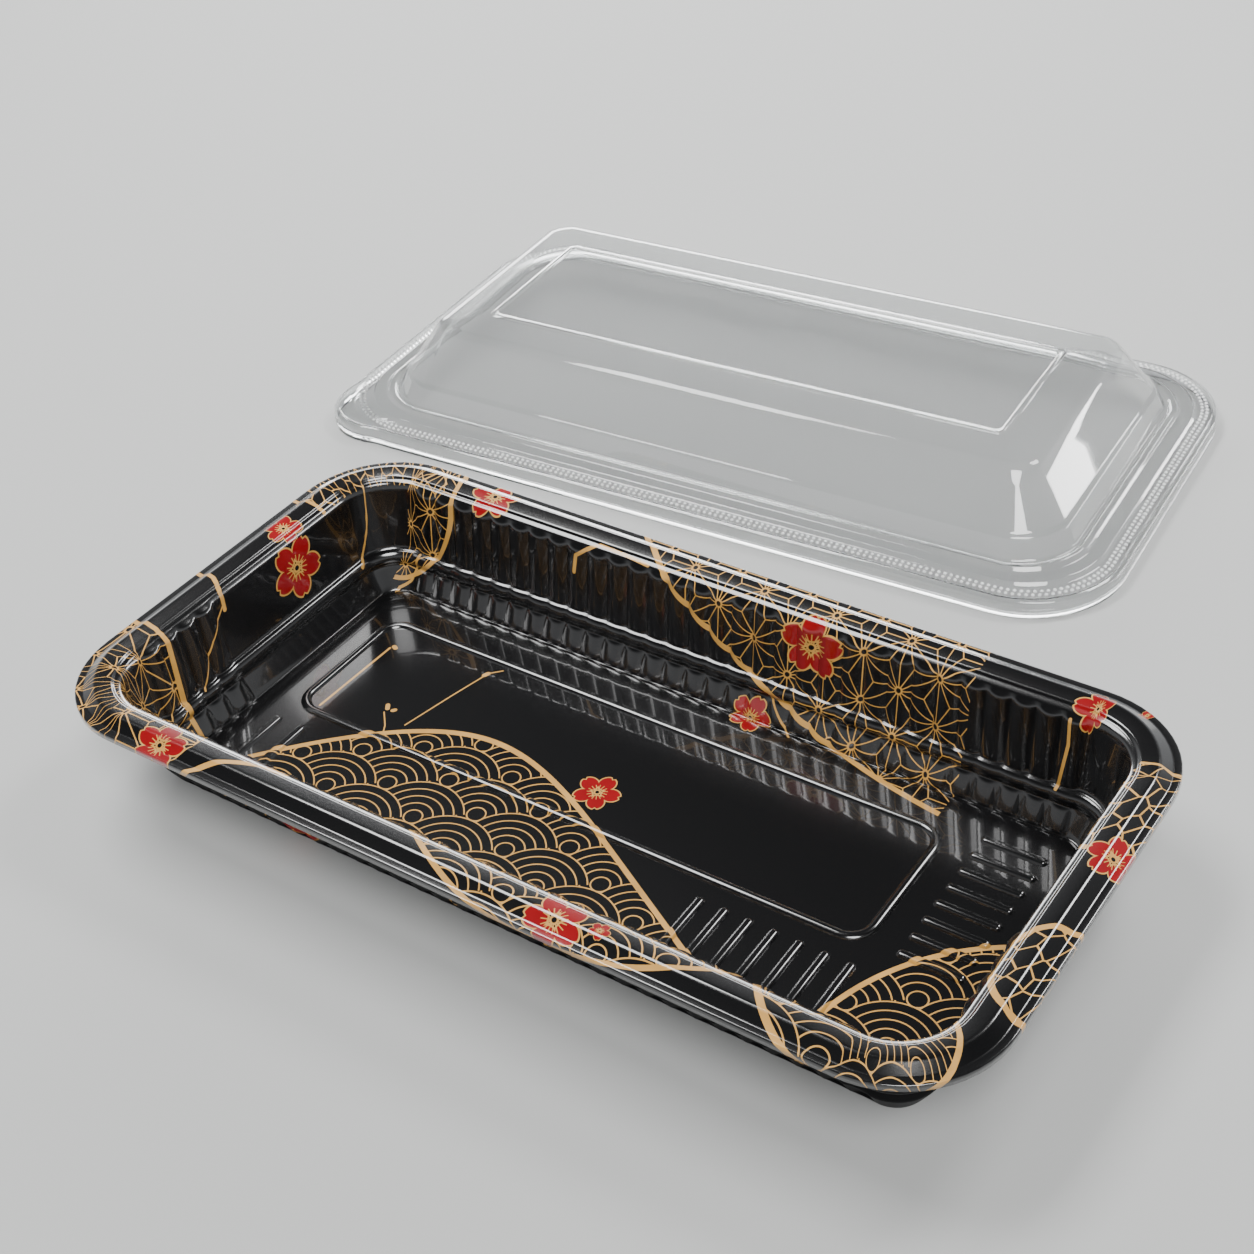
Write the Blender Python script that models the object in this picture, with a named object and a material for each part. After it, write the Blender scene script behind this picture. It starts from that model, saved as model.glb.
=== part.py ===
"""Disposable sushi box: a black thermoformed tray and the clear domed lid that fits over its rim.

Metres, +Z up. The origin is the centre of the tray's underside. The tray's long sides run along X,
and its near side faces -Y. The lid lies dome up on the same surface, just behind the tray.
"""

import math

import bmesh
import bpy
from mathutils import Matrix, Vector

MM = 0.001

# Driving sizes of the tray
TRAY_LENGTH = 265.0 * MM
TRAY_DEPTH = 137.5 * MM
TRAY_HEIGHT = 34.5 * MM
TRAY_CORNER = 28.0 * MM
TRAY_WALL = 0.8 * MM

# Flutes that stiffen the walls: all along the long sides, and near the front of the ends
FLUTE_RELIEF = 1.1 * MM
LONG_SIDE_FLUTES = 31
END_SIDE_PITCHES = 12
END_FLUTES = 4

# Floor relief: a beaded panel set towards the far left, with cross bars in the wider strips
PANEL_LOW = (-101.5 * MM, -10.5 * MM)
PANEL_HIGH = (80.0 * MM, 35.5 * MM)
PANEL_CORNER = 8.0 * MM
BEAD_WIDTH = 2.6 * MM
RELIEF = 0.9 * MM
BAR_WIDTH = 2.6 * MM
NEAR_BARS = 7
NEAR_BAR_PITCH = 7.0 * MM
NEAR_BAR_LENGTH = 25.0 * MM
END_BARS = 8
END_BAR_PITCH = 6.3 * MM
END_BAR_LENGTH = 18.0 * MM
BAR_TO_PANEL = 5.0 * MM
LEFT_RIBS = 2
LEFT_RIB_PITCH = 8.5 * MM

# Driving sizes of the lid
LID_OVER_TRAY = 1.8 * MM
LID_HEIGHT = 30.0 * MM
LID_WALL = 0.6 * MM
LID_CORNER_SHRINK = 0.62
LID_PANEL_INSET = 43.0 * MM
LID_PANEL_CORNER = 8.0 * MM
TAB_REACH = 6.0 * MM
TAB_HALF_ANGLE = math.radians(34.0)

# Where the lid lies
LID_GAP = 45.0 * MM
LID_SHIFT = -62.0 * MM
LID_YAW = math.radians(4.0)

CORNER_STEPS = 10
CORNER_SIGNS = ((1, -1), (1, 1), (-1, 1), (-1, -1))
FLUTE_SHAPE = ((0.0, 0.0), (0.3, 1.0), (0.7, 1.0))


def corner_stations():
    """Stations round the four corners alone: (order along the ring, corner, angle, side place, wave)."""
    stations = []
    for corner in range(4):
        for step in range(CORNER_STEPS + 1):
            turn = step / CORNER_STEPS
            angle = (corner - 1 + turn) * math.pi / 2
            stations.append((2 * corner + turn, corner, angle, None, 0.0))
    return stations


def flute_places(first, pitch, count):
    """Places along a side, in metres from its middle, with the share of the relief at each."""
    places = []
    for flute in range(count):
        for share, wave in FLUTE_SHAPE:
            if flute or share:
                places.append((first + (flute + share) * pitch, wave))
    return places


def fluted_stations(straight_x, straight_y):
    """Corner stations with the flutes' own stations on the straights between them."""
    long_side = flute_places(-straight_x, 2 * straight_x / LONG_SIDE_FLUTES, LONG_SIDE_FLUTES)
    end_pitch = 2 * straight_y / END_SIDE_PITCHES
    end_side = flute_places(-straight_y, end_pitch, END_FLUTES)
    end_side.append((END_FLUTES * end_pitch - straight_y, 0.0))
    stations = corner_stations()
    sides = (
        (0, end_side, straight_y, 1),
        (1, long_side, straight_x, -1),
        (2, end_side, straight_y, -1),
        (3, long_side, straight_x, 1),
    )
    for corner, places, half, way in sides:
        for place, wave in places:
            along = (way * place + half) / (2 * half)
            stations.append((2 * corner + 1 + along, corner, None, place, wave))
    return sorted(stations)


def ring_points(stations, half_x, half_y, radius, height, relief, tab=0.0):
    """Points of one rounded rectangle: a positive relief pushes the flutes towards the middle."""
    points = []
    for order, corner, angle, place, wave in stations:
        push = relief * wave
        if angle is None:
            x = (half_x - push, place, push - half_x, place)[corner]
            y = (place, half_y - push, place, push - half_y)[corner]
        else:
            sx, sy = CORNER_SIGNS[corner]
            bulge = tab * tab_share(angle)
            x = sx * (half_x - radius) + (radius + bulge) * math.cos(angle)
            y = sy * (half_y - radius) + (radius + bulge) * math.sin(angle)
        points.append((order, (x, y, height)))
    return points


def tab_share(angle):
    """Share of the pull tab's reach at an angle round the near left corner."""
    off_diagonal = abs((angle + 3 * math.pi / 4 + math.pi) % (2 * math.pi) - math.pi)
    if off_diagonal >= TAB_HALF_ANGLE:
        return 0.0
    return math.cos(off_diagonal / TAB_HALF_ANGLE * math.pi / 2)


def offset_profile(profile, distance):
    """A profile of (inset, height, ...) rows moved to its upper side, mitred at every bend."""
    moved = []
    last = len(profile) - 1
    for index, row in enumerate(profile):
        normals = []
        for a, b in ((index - 1, index), (index, index + 1)):
            if a >= 0 and b <= last:
                run = Vector((profile[b][0] - profile[a][0], profile[b][1] - profile[a][1])).normalized()
                normals.append(Vector((-run.y, run.x)))
        middle = sum(normals, Vector((0.0, 0.0))).normalized()
        reach = distance / max(middle.dot(normals[0]), 0.6)
        moved.append((row[0] + middle.x * reach, row[1] + middle.y * reach) + tuple(row[2:]))
    return moved


def add_ring(bm, points):
    """New vertices along a ring, each with its order."""
    return [(order, bm.verts.new(point)) for order, point in points]


def bridge(bm, first, second):
    """Faces between two rings, whose counts may differ: matching stations give quads."""
    round_trip = 8.0
    a = first + [(first[0][0] + round_trip, first[0][1])]
    b = second + [(second[0][0] + round_trip, second[0][1])]
    i = 0
    j = 0
    while i < len(a) - 1 or j < len(b) - 1:
        more_a = i < len(a) - 1
        more_b = j < len(b) - 1
        if more_a and more_b and abs(a[i + 1][0] - b[j + 1][0]) < 1e-9:
            bm.faces.new((a[i][1], a[i + 1][1], b[j + 1][1], b[j][1]))
            i += 1
            j += 1
        elif more_a and (not more_b or a[i][0] + a[i + 1][0] < b[j][0] + b[j + 1][0]):
            bm.faces.new((a[i][1], a[i + 1][1], b[j][1]))
            i += 1
        else:
            bm.faces.new((a[i][1], b[j + 1][1], b[j][1]))
            j += 1


def ring_edges(ring):
    """The edges between neighbours of a ring that already has faces on one side."""
    edges = []
    for index, (_, vert) in enumerate(ring):
        partner = ring[(index + 1) % len(ring)][1]
        edges.append(next(edge for edge in vert.link_edges if edge.other_vert(vert) == partner))
    return edges


def rounded_rectangle(low, high, radius, height, steps):
    """Points of a rounded rectangle between two corners, as an ordered ring."""
    points = []
    for corner, (sx, sy) in enumerate(CORNER_SIGNS):
        cx = (high[0] - radius) if sx > 0 else (low[0] + radius)
        cy = (high[1] - radius) if sy > 0 else (low[1] + radius)
        for step in range(steps + 1):
            angle = (corner - 1 + step / steps) * math.pi / 2
            order = 2 * corner + step / steps
            points.append((order, (cx + radius * math.cos(angle), cy + radius * math.sin(angle), height)))
    return points


def raised_bead(bm, low, high, radius, width, base, relief):
    """A rounded bead along a rounded rectangle: returns its outer edge, and closes its inside flat."""
    rings = []
    for share, rise in ((0.0, 0.0), (0.3, relief), (0.7, relief), (1.0, 0.0)):
        inset = share * width
        inner_low = (low[0] + inset, low[1] + inset)
        inner_high = (high[0] - inset, high[1] - inset)
        rings.append(add_ring(bm, rounded_rectangle(inner_low, inner_high, radius - inset, base + rise, 6)))
    for outer, inner in zip(rings, rings[1:]):
        bridge(bm, outer, inner)
    bm.faces.new([vert for _, vert in rings[-1]])
    return ring_edges(rings[0])


def raised_bar(bm, low, high, base, relief):
    """A cross bar with rounded ends: returns its outer edge."""
    radius = min(high[0] - low[0], high[1] - low[1]) * 0.45
    foot = add_ring(bm, rounded_rectangle(low, high, radius, base, 2))
    slope = radius * 0.45
    top_low = (low[0] + slope, low[1] + slope)
    top_high = (high[0] - slope, high[1] - slope)
    top = add_ring(bm, rounded_rectangle(top_low, top_high, radius - slope, base + relief, 2))
    bridge(bm, foot, top)
    bm.faces.new([vert for _, vert in top])
    return ring_edges(foot)


def finish_object(bm, name, material):
    """Turns a closed bmesh into a named object with outward faces."""
    bmesh.ops.recalc_face_normals(bm, faces=bm.faces)
    mesh = bpy.data.meshes.new(name)
    bm.to_mesh(mesh)
    bm.free()
    mesh.materials.append(material)
    mesh.shade_smooth()
    mesh.set_sharp_from_angle(angle=math.radians(32.0))
    obj = bpy.data.objects.new(name, mesh)
    bpy.context.collection.objects.link(obj)
    return obj


def make_material(name, colour, roughness, alpha=1.0):
    """A Principled material; the alpha is below one for the clear sheet."""
    material = bpy.data.materials.new(name)
    material.use_nodes = True
    shader = material.node_tree.nodes["Principled BSDF"]
    shader.inputs["Base Color"].default_value = (*colour, 1.0)
    shader.inputs["Roughness"].default_value = roughness
    shader.inputs["Metallic"].default_value = 0.0
    shader.inputs["Alpha"].default_value = alpha
    return material


def tray_profile():
    """The tray's middle surface from the skirt's edge to the floor: inset, height, fluted, relief.

    Rows that aren't fluted use the corner stations alone.
    """
    top = TRAY_HEIGHT - TRAY_WALL / 2
    floor = TRAY_WALL / 2
    relief = FLUTE_RELIEF
    return [
        (0.4 * MM, top - 3.4 * MM, False, 0.0),
        (0.5 * MM, top - 1.9 * MM, False, 0.0),
        (2.2 * MM, top - 1.9 * MM, False, 0.0),
        (5.6 * MM, top, False, 0.0),
        (9.7 * MM, top - 0.6 * MM, False, 0.0),
        (10.5 * MM, top - 1.4 * MM, False, 0.0),
        (11.5 * MM, top - 1.6 * MM, True, 0.0),
        (12.2 * MM, top - 2.6 * MM, True, relief),
        (14.6 * MM, top - 22.4 * MM, True, relief),
        (16.6 * MM, top - 23.6 * MM, True, 0.3 * relief),
        (17.2 * MM, top - 25.2 * MM, True, 0.3 * relief),
        (16.9 * MM, top - 26.8 * MM, True, relief),
        (19.6 * MM, floor + 1.8 * MM, True, relief),
        (21.0 * MM, floor + 0.6 * MM, True, 0.0),
        (22.2 * MM, floor, False, 0.0),
    ]


def shell_rings(bm, profile, half_x, half_y, radius_at, stations_for, tab_for):
    """Rings of one side of a shell along its profile, bridged in order."""
    rings = []
    for inset, height, fluted, relief in profile:
        points = ring_points(
            stations_for(fluted),
            half_x - inset,
            half_y - inset,
            radius_at(inset),
            height,
            relief,
            tab_for(inset),
        )
        rings.append(add_ring(bm, points))
    for outer, inner in zip(rings, rings[1:]):
        bridge(bm, outer, inner)
    return rings


def bar_places():
    """Low and high corners of every cross bar on the floor."""
    places = []
    half = BAR_WIDTH / 2
    near_top = PANEL_LOW[1] - BAR_TO_PANEL
    for index in range(NEAR_BARS):
        x = PANEL_HIGH[0] - index * NEAR_BAR_PITCH
        places.append(((x - half, near_top - NEAR_BAR_LENGTH), (x + half, near_top)))
    for index in range(LEFT_RIBS):
        x = PANEL_LOW[0] + half + index * LEFT_RIB_PITCH
        places.append(((x - half, near_top - NEAR_BAR_LENGTH), (x + half, near_top)))
    end_left = PANEL_HIGH[0] + 1.4 * BAR_TO_PANEL
    for index in range(END_BARS):
        y = PANEL_HIGH[1] + half - index * END_BAR_PITCH
        places.append(((end_left, y - half), (end_left + END_BAR_LENGTH, y + half)))
    return places


def make_tray(material):
    """The tray: one closed shell of stepped rim, fluted two-tier walls and floor relief."""
    bm = bmesh.new()
    half_x = TRAY_LENGTH / 2
    half_y = TRAY_DEPTH / 2
    corners = corner_stations()
    fluted = fluted_stations(half_x - TRAY_CORNER, half_y - TRAY_CORNER)
    profile = tray_profile()
    sides = []
    for way in (0.5, -0.5):
        sides.append(
            shell_rings(
                bm,
                offset_profile(profile, way * TRAY_WALL),
                half_x,
                half_y,
                lambda inset: TRAY_CORNER - inset,
                lambda is_fluted: fluted if is_fluted else corners,
                lambda inset: 0.0,
            )
        )
    upper, lower = sides
    bridge(bm, upper[0], lower[0])
    bm.faces.new([vert for _, vert in lower[-1]])
    edges = ring_edges(upper[-1])
    edges += raised_bead(bm, PANEL_LOW, PANEL_HIGH, PANEL_CORNER, BEAD_WIDTH, TRAY_WALL, RELIEF)
    for low, high in bar_places():
        edges += raised_bar(bm, low, high, TRAY_WALL, RELIEF)
    bmesh.ops.triangle_fill(bm, use_beauty=True, use_dissolve=False, edges=edges)
    return finish_object(bm, "tray", material)


def lid_profile():
    """The lid's middle surface from the skirt's edge to the top face: inset, height, fluted, relief."""
    top = LID_HEIGHT - LID_WALL / 2
    band = 6.9 * MM
    return [
        (0.3 * MM, 0.0, False, 0.0),
        (0.3 * MM, band - 2.3 * MM, False, 0.0),
        (1.2 * MM, band - 1.3 * MM, False, 0.0),
        (6.0 * MM, band - 1.1 * MM, False, 0.0),
        (7.2 * MM, band, False, 0.0),
        (11.0 * MM, band, False, 0.0),
        (12.0 * MM, band + 1.4 * MM, False, 0.0),
        (13.4 * MM, band + 1.4 * MM, False, 0.0),
        (14.4 * MM, band + 0.3 * MM, False, 0.0),
        (15.4 * MM, band + 0.9 * MM, False, 0.0),
        (18.0 * MM, band + 6.4 * MM, False, 0.0),
        (19.0 * MM, band + 7.0 * MM, False, 0.0),
        (27.4 * MM, top - 3.0 * MM, False, 0.0),
        (28.6 * MM, top - 1.0 * MM, False, 0.0),
        (30.4 * MM, top, False, 0.0),
        (LID_PANEL_INSET, top, False, 0.0),
        (LID_PANEL_INSET + 0.8 * MM, top + 0.8 * MM, False, 0.0),
        (LID_PANEL_INSET + 1.8 * MM, top + 0.8 * MM, False, 0.0),
        (LID_PANEL_INSET + 2.6 * MM, top, False, 0.0),
    ]


def lid_radius(inset):
    """Corner radius of a lid ring: it tightens more slowly than the inset, down to the panel's own."""
    outer = TRAY_CORNER + LID_OVER_TRAY
    return max(outer - LID_CORNER_SHRINK * inset, LID_PANEL_CORNER)


def make_lid(material):
    """The lid: one closed shell of stepped flange, sloping dome and a beaded top panel."""
    bm = bmesh.new()
    corners = corner_stations()
    flange_end = 6.5 * MM
    sides = []
    for way in (0.5, -0.5):
        sides.append(
            shell_rings(
                bm,
                offset_profile(lid_profile(), way * LID_WALL),
                TRAY_LENGTH / 2 + LID_OVER_TRAY,
                TRAY_DEPTH / 2 + LID_OVER_TRAY,
                lid_radius,
                lambda is_fluted: corners,
                lambda inset: TAB_REACH if inset < flange_end else 0.0,
            )
        )
    upper, lower = sides
    bridge(bm, upper[0], lower[0])
    bm.faces.new([vert for _, vert in upper[-1]])
    bm.faces.new([vert for _, vert in lower[-1]])
    lid = finish_object(bm, "lid", material)
    near_edge = TRAY_DEPTH / 2 + LID_GAP
    lid.matrix_world = Matrix.Translation(
        (LID_SHIFT, near_edge + TRAY_DEPTH / 2 + LID_OVER_TRAY, 0.0)
    ) @ Matrix.Rotation(LID_YAW, 4, "Z")
    return lid


def main():
    for old in list(bpy.data.objects):
        bpy.data.objects.remove(old, do_unlink=True)
    make_tray(make_material("printed_black_styrene", (0.006, 0.006, 0.007), 0.18))
    make_lid(make_material("clear_pet_sheet", (0.9, 0.93, 0.94), 0.05, 0.25))


main()
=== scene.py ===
"""Disposable sushi box: a printed black tray and its clear domed lid, in a plain studio."""

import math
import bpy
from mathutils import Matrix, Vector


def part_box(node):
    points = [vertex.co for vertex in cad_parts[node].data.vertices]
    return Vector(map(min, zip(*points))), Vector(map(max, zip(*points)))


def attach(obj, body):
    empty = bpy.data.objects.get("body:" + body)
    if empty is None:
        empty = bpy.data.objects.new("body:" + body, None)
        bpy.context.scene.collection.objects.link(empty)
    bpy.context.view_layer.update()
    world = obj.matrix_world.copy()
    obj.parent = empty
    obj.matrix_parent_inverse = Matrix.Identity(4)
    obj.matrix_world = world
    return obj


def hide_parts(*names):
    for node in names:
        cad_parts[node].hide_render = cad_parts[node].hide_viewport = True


bl_info = {
    "name": "Sushi box",
    "version": (1, 0, 0),
    "blender": (4, 5, 0),
    "location": "View3D > Sidebar > Sushi box",
    "description": "Makes a printed thermoformed sushi tray, its clear lid and a plain studio",
    "category": "Add Mesh",
}

import bmesh
import bpy
from mathutils import Matrix, Vector

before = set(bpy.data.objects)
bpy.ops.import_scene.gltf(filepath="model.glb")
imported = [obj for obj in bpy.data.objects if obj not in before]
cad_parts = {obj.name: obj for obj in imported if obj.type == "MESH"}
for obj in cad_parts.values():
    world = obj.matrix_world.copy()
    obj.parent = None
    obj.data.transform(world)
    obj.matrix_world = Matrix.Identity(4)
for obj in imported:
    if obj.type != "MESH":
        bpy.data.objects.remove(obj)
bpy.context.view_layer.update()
TRAY_LOW, TRAY_HIGH = (Vector(corner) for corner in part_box("tray"))

MM = 0.001

# The tray's rim, from the skirt's lower edge to the top of the wall: inset, height, rounding, in mm
RIM_ROWS = (
    (0.00, 30.80, 0.0),
    (0.05, 32.60, 0.5),
    (2.20, 32.50, 0.3),
    (5.20, 34.35, 0.4),
    (5.90, 34.45, 0.5),
    (9.70, 33.85, 0.3),
    (10.40, 33.15, 0.3),
    (11.60, 32.90, 0.3),
)

# The wall below it: inset, height, rounding, share of the flutes' relief
WALL_ROWS = (
    (12.00, 32.40, 0.2, 0.0),
    (12.60, 31.20, 0.8, 1.0),
    (14.90, 12.40, 0.5, 1.0),
    (15.50, 11.70, 0.3, 0.35),
    (16.60, 11.40, 1.6, 0.3),
    (17.60, 10.00, 1.6, 0.3),
    (17.70, 8.60, 1.4, 0.3),
    (16.90, 7.30, 0.6, 0.3),
    (17.30, 6.50, 0.5, 0.8),
    (20.20, 1.50, 0.8, 1.0),
    (20.90, 0.50, 0.3, 0.0),
    (21.50, 0.50, 0.3, 0.0),
    (22.10, 0.80, 0.3, 0.0),
    (22.70, 0.80, 0.0, 0.0),
)

# The lid from the skirt's lower edge to the top face
LID_ROWS = (
    (0.00, 0.00, 0.0),
    (0.00, 5.20, 0.7),
    (1.40, 5.85, 0.3),
    (2.00, 5.60, 0.2),
    (6.00, 5.95, 0.4),
    (7.00, 7.15, 0.4),
    (10.80, 7.20, 0.4),
    (11.80, 8.60, 0.5),
    (13.30, 8.60, 0.5),
    (14.30, 7.45, 0.4),
    (15.00, 7.90, 0.5),
    (17.70, 13.70, 0.6),
    (18.80, 14.40, 0.6),
    (27.20, 27.40, 2.2),
    (28.60, 29.20, 0.8),
    (30.60, 30.00, 1.2),
    (42.20, 30.00, 0.0),
)

# Floor relief, seen from above: inset from the outline, rise above the floor, in mm
BEAD_ROWS = (
    (0.0, 0.0), (0.3, 0.45), (0.65, 0.72), (1.05, 0.86), (1.5, 0.9),
    (1.95, 0.86), (2.35, 0.72), (2.7, 0.45), (3.0, 0.0))
BAR_ROWS = ((0.0, 0.0), (0.3, 0.46), (0.5, 0.7), (0.75, 0.84), (1.05, 0.9), (1.2, 0.9))

# The beaded panel on the tray's floor: its corners, and the radius and the steps that round them
PANEL_LOW = Vector((-101.5 * MM, -10.5 * MM))
PANEL_HIGH = Vector((80.0 * MM, 35.5 * MM))
PANEL_ROUNDING = (8.0 * MM, 10)

# The same rounding of the floor's bars and ribs
BAR_ROUNDING = (1.3 * MM, 3)

# Steps in each rounded corner of the rim and of the lid
CORNER_STEPS = 14

# Rows of embossed dots on the lid's rim: inset, height of the dots' middle, in mm
GRIP_ROWS = ((3.4, 5.78), (4.9, 5.92))
GRIP_DOT_RADIUS = 0.58 * MM

# Middle of the lid where it lies behind the tray
LID_CENTRE = Vector((-62.0, 184.3, 0.0)) * MM


def linear(hex_colour):
    """An sRGB hex colour as linear red, green, blue and full alpha."""
    channels = []
    for start in (1, 3, 5):
        value = int(hex_colour[start:start + 2], 16) / 255
        channels.append(value / 12.92 if value <= 0.04045 else ((value + 0.055) / 1.055) ** 2.4)
    return (*channels, 1.0)


class SushiTraySettings(bpy.types.PropertyGroup):
    """Sizes of the tray that the looks add to the frame's own box."""

    corner: bpy.props.FloatProperty(
        name="Rim corner", description="Radius of the rim's outer corners",
        default=28.0 * MM, min=0.0, subtype="DISTANCE", unit="LENGTH")
    sheet: bpy.props.FloatProperty(
        name="Sheet", description="Thickness of the formed sheet",
        default=0.5 * MM, min=0.0001, subtype="DISTANCE", unit="LENGTH")
    flutes: bpy.props.IntProperty(
        name="Flutes", description="Flutes along each long side", default=31, min=1)
    end_pitches: bpy.props.IntProperty(
        name="End pitches", description="Flute pitches in an end wall", default=12, min=1)
    end_flutes: bpy.props.IntProperty(
        name="End flutes", description="Flutes at the near end of each end wall", default=4, min=0)
    relief: bpy.props.FloatProperty(
        name="Flute relief", description="How far a flute stands into the tray",
        default=1.1 * MM, min=0.0, subtype="DISTANCE", unit="LENGTH")


class SushiPrintSettings(bpy.types.PropertyGroup):
    """Colours of the tray and its print."""

    black: bpy.props.FloatVectorProperty(
        name="Sheet colour", description="Colour of the unprinted sheet",
        default=linear("#0B0B0C"), size=4, min=0.0, max=1.0, subtype="COLOR")
    gold_deep: bpy.props.FloatVectorProperty(
        name="Deep gold", description="Colour of the gold ink where it is thick",
        default=linear("#AC7C30"), size=4, min=0.0, max=1.0, subtype="COLOR")
    gold_bright: bpy.props.FloatVectorProperty(
        name="Bright gold", description="Colour of the gold ink where it is thin",
        default=linear("#D2A050"), size=4, min=0.0, max=1.0, subtype="COLOR")
    red_deep: bpy.props.FloatVectorProperty(
        name="Deep red", description="Colour of the blossoms where the ink is thick",
        default=linear("#7A080F"), size=4, min=0.0, max=1.0, subtype="COLOR")
    red_bright: bpy.props.FloatVectorProperty(
        name="Bright red", description="Colour of the blossoms where the ink is thin",
        default=linear("#960E16"), size=4, min=0.0, max=1.0, subtype="COLOR")


class SushiLidSettings(bpy.types.PropertyGroup):
    """Sizes of the lid."""

    over_tray: bpy.props.FloatProperty(
        name="Over tray", description="How far the lid's skirt stands outside the tray's rim",
        default=1.8 * MM, min=0.0, subtype="DISTANCE", unit="LENGTH")
    sheet: bpy.props.FloatProperty(
        name="Sheet", description="Thickness of the clear sheet",
        default=0.5 * MM, min=0.0001, subtype="DISTANCE", unit="LENGTH")
    shrink: bpy.props.FloatProperty(
        name="Corner shrink", description="How fast the corners tighten with the inset",
        default=0.62, min=0.0, max=1.0, subtype="FACTOR")
    yaw: bpy.props.FloatProperty(
        name="Turn", description="How far the lid is turned on the table",
        default=math.radians(4.0), subtype="ANGLE", unit="ROTATION")
    grip_pitch: bpy.props.FloatProperty(
        name="Grip pitch", description="Distance between the embossed dots on the rim",
        default=1.9 * MM, min=0.001, subtype="DISTANCE", unit="LENGTH")
    tab: bpy.props.FloatProperty(
        name="Pull tab", description="How far the pull tab stands out of its corner",
        default=6.0 * MM, min=0.0, subtype="DISTANCE", unit="LENGTH")


class SushiStageSettings(bpy.types.PropertyGroup):
    """The studio round the box."""

    floor: bpy.props.FloatVectorProperty(
        name="Floor", description="Colour of the floor",
        default=linear("#B2B3B2"), size=4, min=0.0, max=1.0, subtype="COLOR")
    lens: bpy.props.FloatProperty(
        name="Lens", description="Focal length for a sensor 36 mm wide, in mm",
        default=58.28, min=1.0)


def feed(tree, socket, value):
    """Gives a socket a value: a number, another socket, or a node's first open output."""
    if isinstance(value, bpy.types.Node):
        value = next(out for out in value.outputs if out.enabled)
    if isinstance(value, bpy.types.NodeSocket):
        tree.links.new(value, socket)
    elif value is not None:
        socket.default_value = value


def add(tree, kind, *values, **settings):
    """Adds a shader node with its settings, and feeds its open sockets in order. None skips one."""
    made = tree.nodes.new("ShaderNode" + kind)
    for name, value in settings.items():
        setattr(made, name, value)
    for socket, value in zip([socket for socket in made.inputs if socket.enabled], values):
        feed(tree, socket, value)
    return made


def principled(name):
    """An empty material with a Principled shader linked to its output, and the shader."""
    material = bpy.data.materials.new(name)
    material.use_nodes = True
    return material, material.node_tree.nodes["Principled BSDF"]


def softened(rows):
    """Rows of (inset, height, rounding, ...) in mm, with each bend made a short curve, in metres."""
    bend_steps = 3
    points = []
    for index, row in enumerate(rows):
        here = Vector(row[:2])
        rest = row[3:]
        if index in (0, len(rows) - 1) or not row[2]:
            points.append((here.x * MM, here.y * MM) + tuple(rest))
            continue
        before, after = rows[index - 1], rows[index + 1]
        arms = []
        for other in (before, after):
            way = Vector(other[:2]) - here
            share = min(row[2], 0.45 * way.length) / way.length
            mixed = tuple(mine + (theirs - mine) * share for mine, theirs in zip(rest, other[3:]))
            arms.append((here + way * share, mixed))
        for step in range(bend_steps + 1):
            t = step / bend_steps
            weights = ((1 - t) ** 2, 2 * t * (1 - t), t ** 2)
            spot = arms[0][0] * weights[0] + here * weights[1] + arms[1][0] * weights[2]
            mixed = tuple(
                a * weights[0] + b * weights[1] + c * weights[2]
                for a, b, c in zip(arms[0][1], rest, arms[1][1]))
            points.append((spot.x * MM, spot.y * MM) + mixed)
    return points


def start_outline(bm, low, high, corner, steps, height):
    """A ring of edges: a flat rectangle between two corners with its own corners rounded."""
    made = bmesh.ops.create_grid(bm, x_segments=1, y_segments=1, size=0.5)
    verts = made["verts"]
    bmesh.ops.scale(bm, vec=(high[0] - low[0], high[1] - low[1], 1.0), verts=verts)
    middle = ((low[0] + high[0]) / 2, (low[1] + high[1]) / 2, height)
    bmesh.ops.translate(bm, vec=middle, verts=verts)
    bevelled = bmesh.ops.bevel(
        bm, geom=verts, offset=corner, offset_type="OFFSET", segments=steps,
        profile=0.5, affect="VERTICES", material=-1)
    face = bevelled["verts"][0].link_faces[0]
    ring = list(face.edges)
    bmesh.ops.delete(bm, geom=[face], context="FACES_ONLY")
    return ring


def next_ring(bm, ring, low, high, corner, height, push=None, path=0.0, bulge=None):
    """Extrudes a ring onto a rounded rectangle. Flutes push it in, and a tab bulges it out."""
    layer = bm.verts.layers.float["path"]
    made = bmesh.ops.extrude_edge_only(bm, edges=ring)["geom"]
    verts = [item for item in made if isinstance(item, bmesh.types.BMVert)]
    for vert in verts:
        anchor = Vector((
            min(max(vert.co.x, low[0] + corner), high[0] - corner),
            min(max(vert.co.y, low[1] + corner), high[1] - corner)))
        out = (vert.co.xy - anchor).normalized()
        reach = corner
        if push:
            reach -= push(anchor, out)
        if bulge:
            reach += bulge(out)
        spot = anchor + out * reach
        vert.co = (spot.x, spot.y, height)
        vert[layer] = path
    edges = [item for item in made if isinstance(item, bmesh.types.BMEdge)]
    raised = set(verts)
    return [edge for edge in edges if set(edge.verts) <= raised]


def cut_straights(bm, ring, corner_length, cuts_x, cuts_y):
    """Cuts a ring's four straight edges evenly, and returns the finer ring."""
    kept = []
    for edge in ring:
        run = edge.verts[1].co - edge.verts[0].co
        if run.length < corner_length:
            kept.append(edge)
            continue
        cuts = cuts_x if abs(run.x) > abs(run.y) else cuts_y
        made = bmesh.ops.subdivide_edges(bm, edges=[edge], cuts=cuts - 1)
        kept += [item for item in made["geom_split"] if isinstance(item, bmesh.types.BMEdge)]
    return [edge for edge in dict.fromkeys(kept) if edge.is_boundary]


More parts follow.
